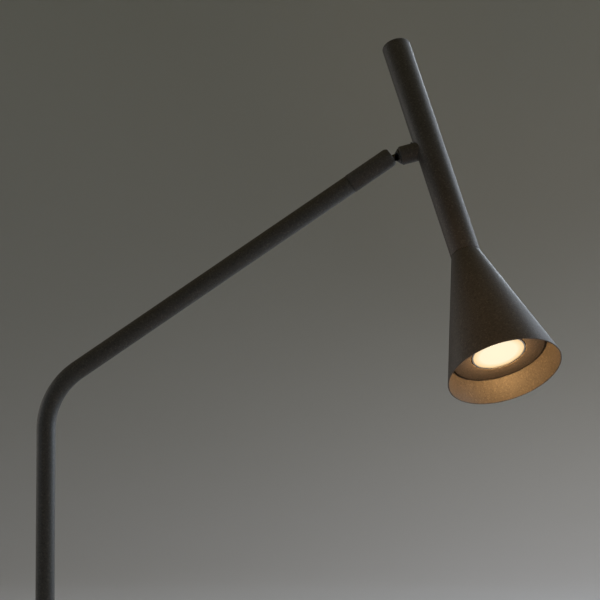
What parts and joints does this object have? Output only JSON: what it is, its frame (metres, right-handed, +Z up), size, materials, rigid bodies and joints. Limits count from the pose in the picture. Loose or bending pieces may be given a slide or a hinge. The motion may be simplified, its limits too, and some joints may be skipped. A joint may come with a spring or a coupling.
{
  "type": "desk lamp",
  "caption": "Architect desk lamp with a round weighted foot, a bent tube arm and a ball jointed spot head with a long tube and a cone shade.",
  "frame": {"origin": "middle of the foot's underside, on the pole's axis", "axes": "+Z up along the pole, +X towards the arm's end, -Y the way the shade's mouth leans"},
  "size_m": [0.5822, 0.2766, 0.7068],
  "materials": {
    "graphite_coat": "matt fine-textured graphite powder coat",
    "cast_iron": "rough cast, primed",
    "zinc_steel": "zinc plated",
    "black_screws": "black oxide",
    "spring_steel": "bright spring steel",
    "nickel": "satin nickel",
    "turned_brass": "turned",
    "foot_rubber": "fine cell foam rubber",
    "black_nylon": "moulded",
    "white_nylon": "moulded",
    "button_black": "satin",
    "lead_sheath": "extruded",
    "holder_ceramic": "glazed ceramic",
    "lamp_mirror": "vapour coated",
    "lamp_glass": "lightly frosted"
  },
  "bodies": {
    "stand": {"foot_pad": "foot_rubber", "bottom_plate": "zinc_steel", "bottom_screws": "black_screws", "base_weight": "cast_iron", "base_cover": "graphite_coat", "pole_plug": "zinc_steel", "pole_nut": "zinc_steel", "pole_washer": "zinc_steel", "cord_gland": "black_nylon", "cord_clamp": "black_nylon", "clamp_screws": "black_screws", "terminal_block": "white_nylon", "terminal_screws": "turned_brass", "switch_body": "black_nylon", "switch_nut": "nickel", "switch_spring": "spring_steel", "switch_lead": "lead_sheath", "pole_tube": "graphite_coat", "arm_lead": "lead_sheath", "arm_plug": "turned_brass", "swivel_washer": "black_nylon"},
    "button": {"switch_button": "button_black"},
    "sleeve": {"socket_sleeve": "graphite_coat", "sleeve_screw": "black_screws", "ball_seat": "white_nylon", "seat_spring": "spring_steel"},
    "ball": {"ball_stem": "nickel", "stem_washer": "zinc_steel", "stem_nut": "zinc_steel", "stop_peg": "zinc_steel", "friction_washer": "black_nylon"},
    "head": {"boss": "graphite_coat", "stop_screw": "black_screws", "head_tube": "graphite_coat", "top_cap": "graphite_coat", "shade": "graphite_coat", "shade_coupling": "turned_brass", "shade_ring_nut": "zinc_steel", "holder_stem": "zinc_steel", "holder_stem_nuts": "zinc_steel", "lamp_holder": "holder_ceramic", "lamp_base": "holder_ceramic", "lamp_pins": "turned_brass", "lamp_reflector": "lamp_mirror", "lamp_glass": "lamp_glass", "baffle": "graphite_coat", "baffle_clips": "spring_steel", "head_lead": "lead_sheath"}
  },
  "joints": [
    {"name": "sleeve_swivel", "type": "hinge", "parent": "stand", "child": "sleeve", "pos_m": [0.322, 0, 0.58048], "axis": [0.8251, 0, 0.565], "range_deg": [-165, 165]},
    {"name": "ball_tilt", "type": "hinge", "parent": "sleeve", "child": "ball", "pos_m": [0.322, 0, 0.58048], "axis": [0, -1, 0], "range_deg": [-7.9, 46.1]},
    {"name": "head_spin", "type": "hinge", "parent": "ball", "child": "head", "pos_m": [0.322, 0, 0.58048], "axis": [0.9646, 0, 0.2639], "range_deg": [-155, 155]},
    {"name": "button_press", "type": "slide", "parent": "stand", "child": "button", "axis": [0, 0, -1], "range_m": [0, 0.0025], "stiffness_N_per_m": 400, "springref_m": -0.002, "deforming": ["switch_spring"]}
  ]
}
